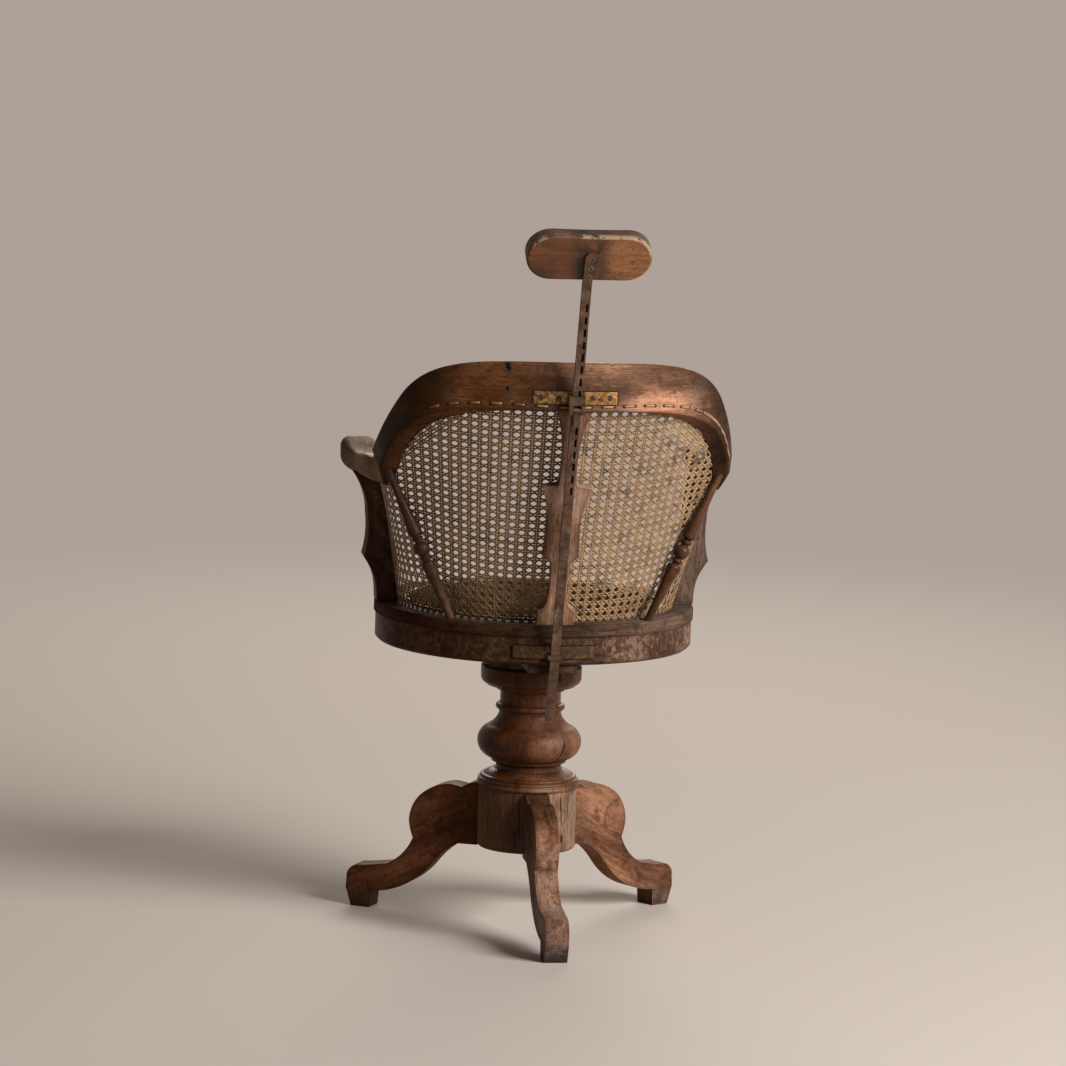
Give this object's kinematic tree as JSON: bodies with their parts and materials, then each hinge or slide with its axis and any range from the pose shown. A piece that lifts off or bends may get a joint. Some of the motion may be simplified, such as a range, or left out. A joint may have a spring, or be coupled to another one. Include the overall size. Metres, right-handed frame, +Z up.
{
  "type": "barber chair",
  "caption": "Antique wooden swivel barber chair with a turned pedestal on three legs, round caned seat, caned tub back, curved arms and a headrest on a slotted sliding bar.",
  "frame": {"origin": "point on the floor below the column's axis", "axes": "+Z up the column, +Y towards the chair's back, +X to the sitter's left"},
  "size_m": [0.579, 0.7099, 1.0799],
  "materials": {
    "wood": "worn wax over dark oak",
    "cane": "aged golden cane",
    "iron": "rusty brown wrought iron",
    "brass": "tarnished brass",
    "screws": "dark slotted screws"
  },
  "bodies": {
    "base": {"pedestal_column": "wood", "leg_back": "wood", "leg_left": "wood", "leg_right": "wood", "column_bush": "iron", "spindle_footstep": "iron"},
    "seat": {"swivel_disc": "wood", "seat_bearer": "wood", "seat_ring_lower": "wood", "seat_ring_upper": "wood", "crest_rail": "wood", "arm_left": "wood", "arm_right": "wood", "arm_post_left": "wood", "arm_post_right": "wood", "back_spindle_left": "wood", "back_spindle_right": "wood", "back_splat": "wood", "seat_cane": "cane", "back_cane": "cane", "swivel_spindle": "iron", "bar_keeper": "iron", "bar_strap": "iron", "catch_pin": "iron", "upper_guide_plate": "brass", "lower_guide_plate": "brass", "spindle_flange_screws": "screws", "bearer_screws": "screws", "upper_plate_screws": "screws", "lower_plate_screws": "screws"},
    "headrest": {"headrest_bar": "iron", "headrest_board": "wood", "headrest_screws": "screws"},
    "catch": {"thumb_catch": "iron"}
  },
  "joints": [
    {"name": "seat_swivel", "type": "hinge", "parent": "base", "child": "seat", "pos_m": [0, 0, 0.394], "axis": [0, 0, 1], "continuous": true},
    {"name": "headrest_slide", "type": "slide", "parent": "seat", "child": "headrest", "axis": [0, 0.3278, 0.9447], "range_m": [-0.114, 0.095]},
    {"name": "catch_pivot", "type": "hinge", "parent": "seat", "child": "catch", "pos_m": [0, 0.38249, 0.81909], "axis": [1, 0, 0], "range_deg": [-7.5, 25]}
  ]
}
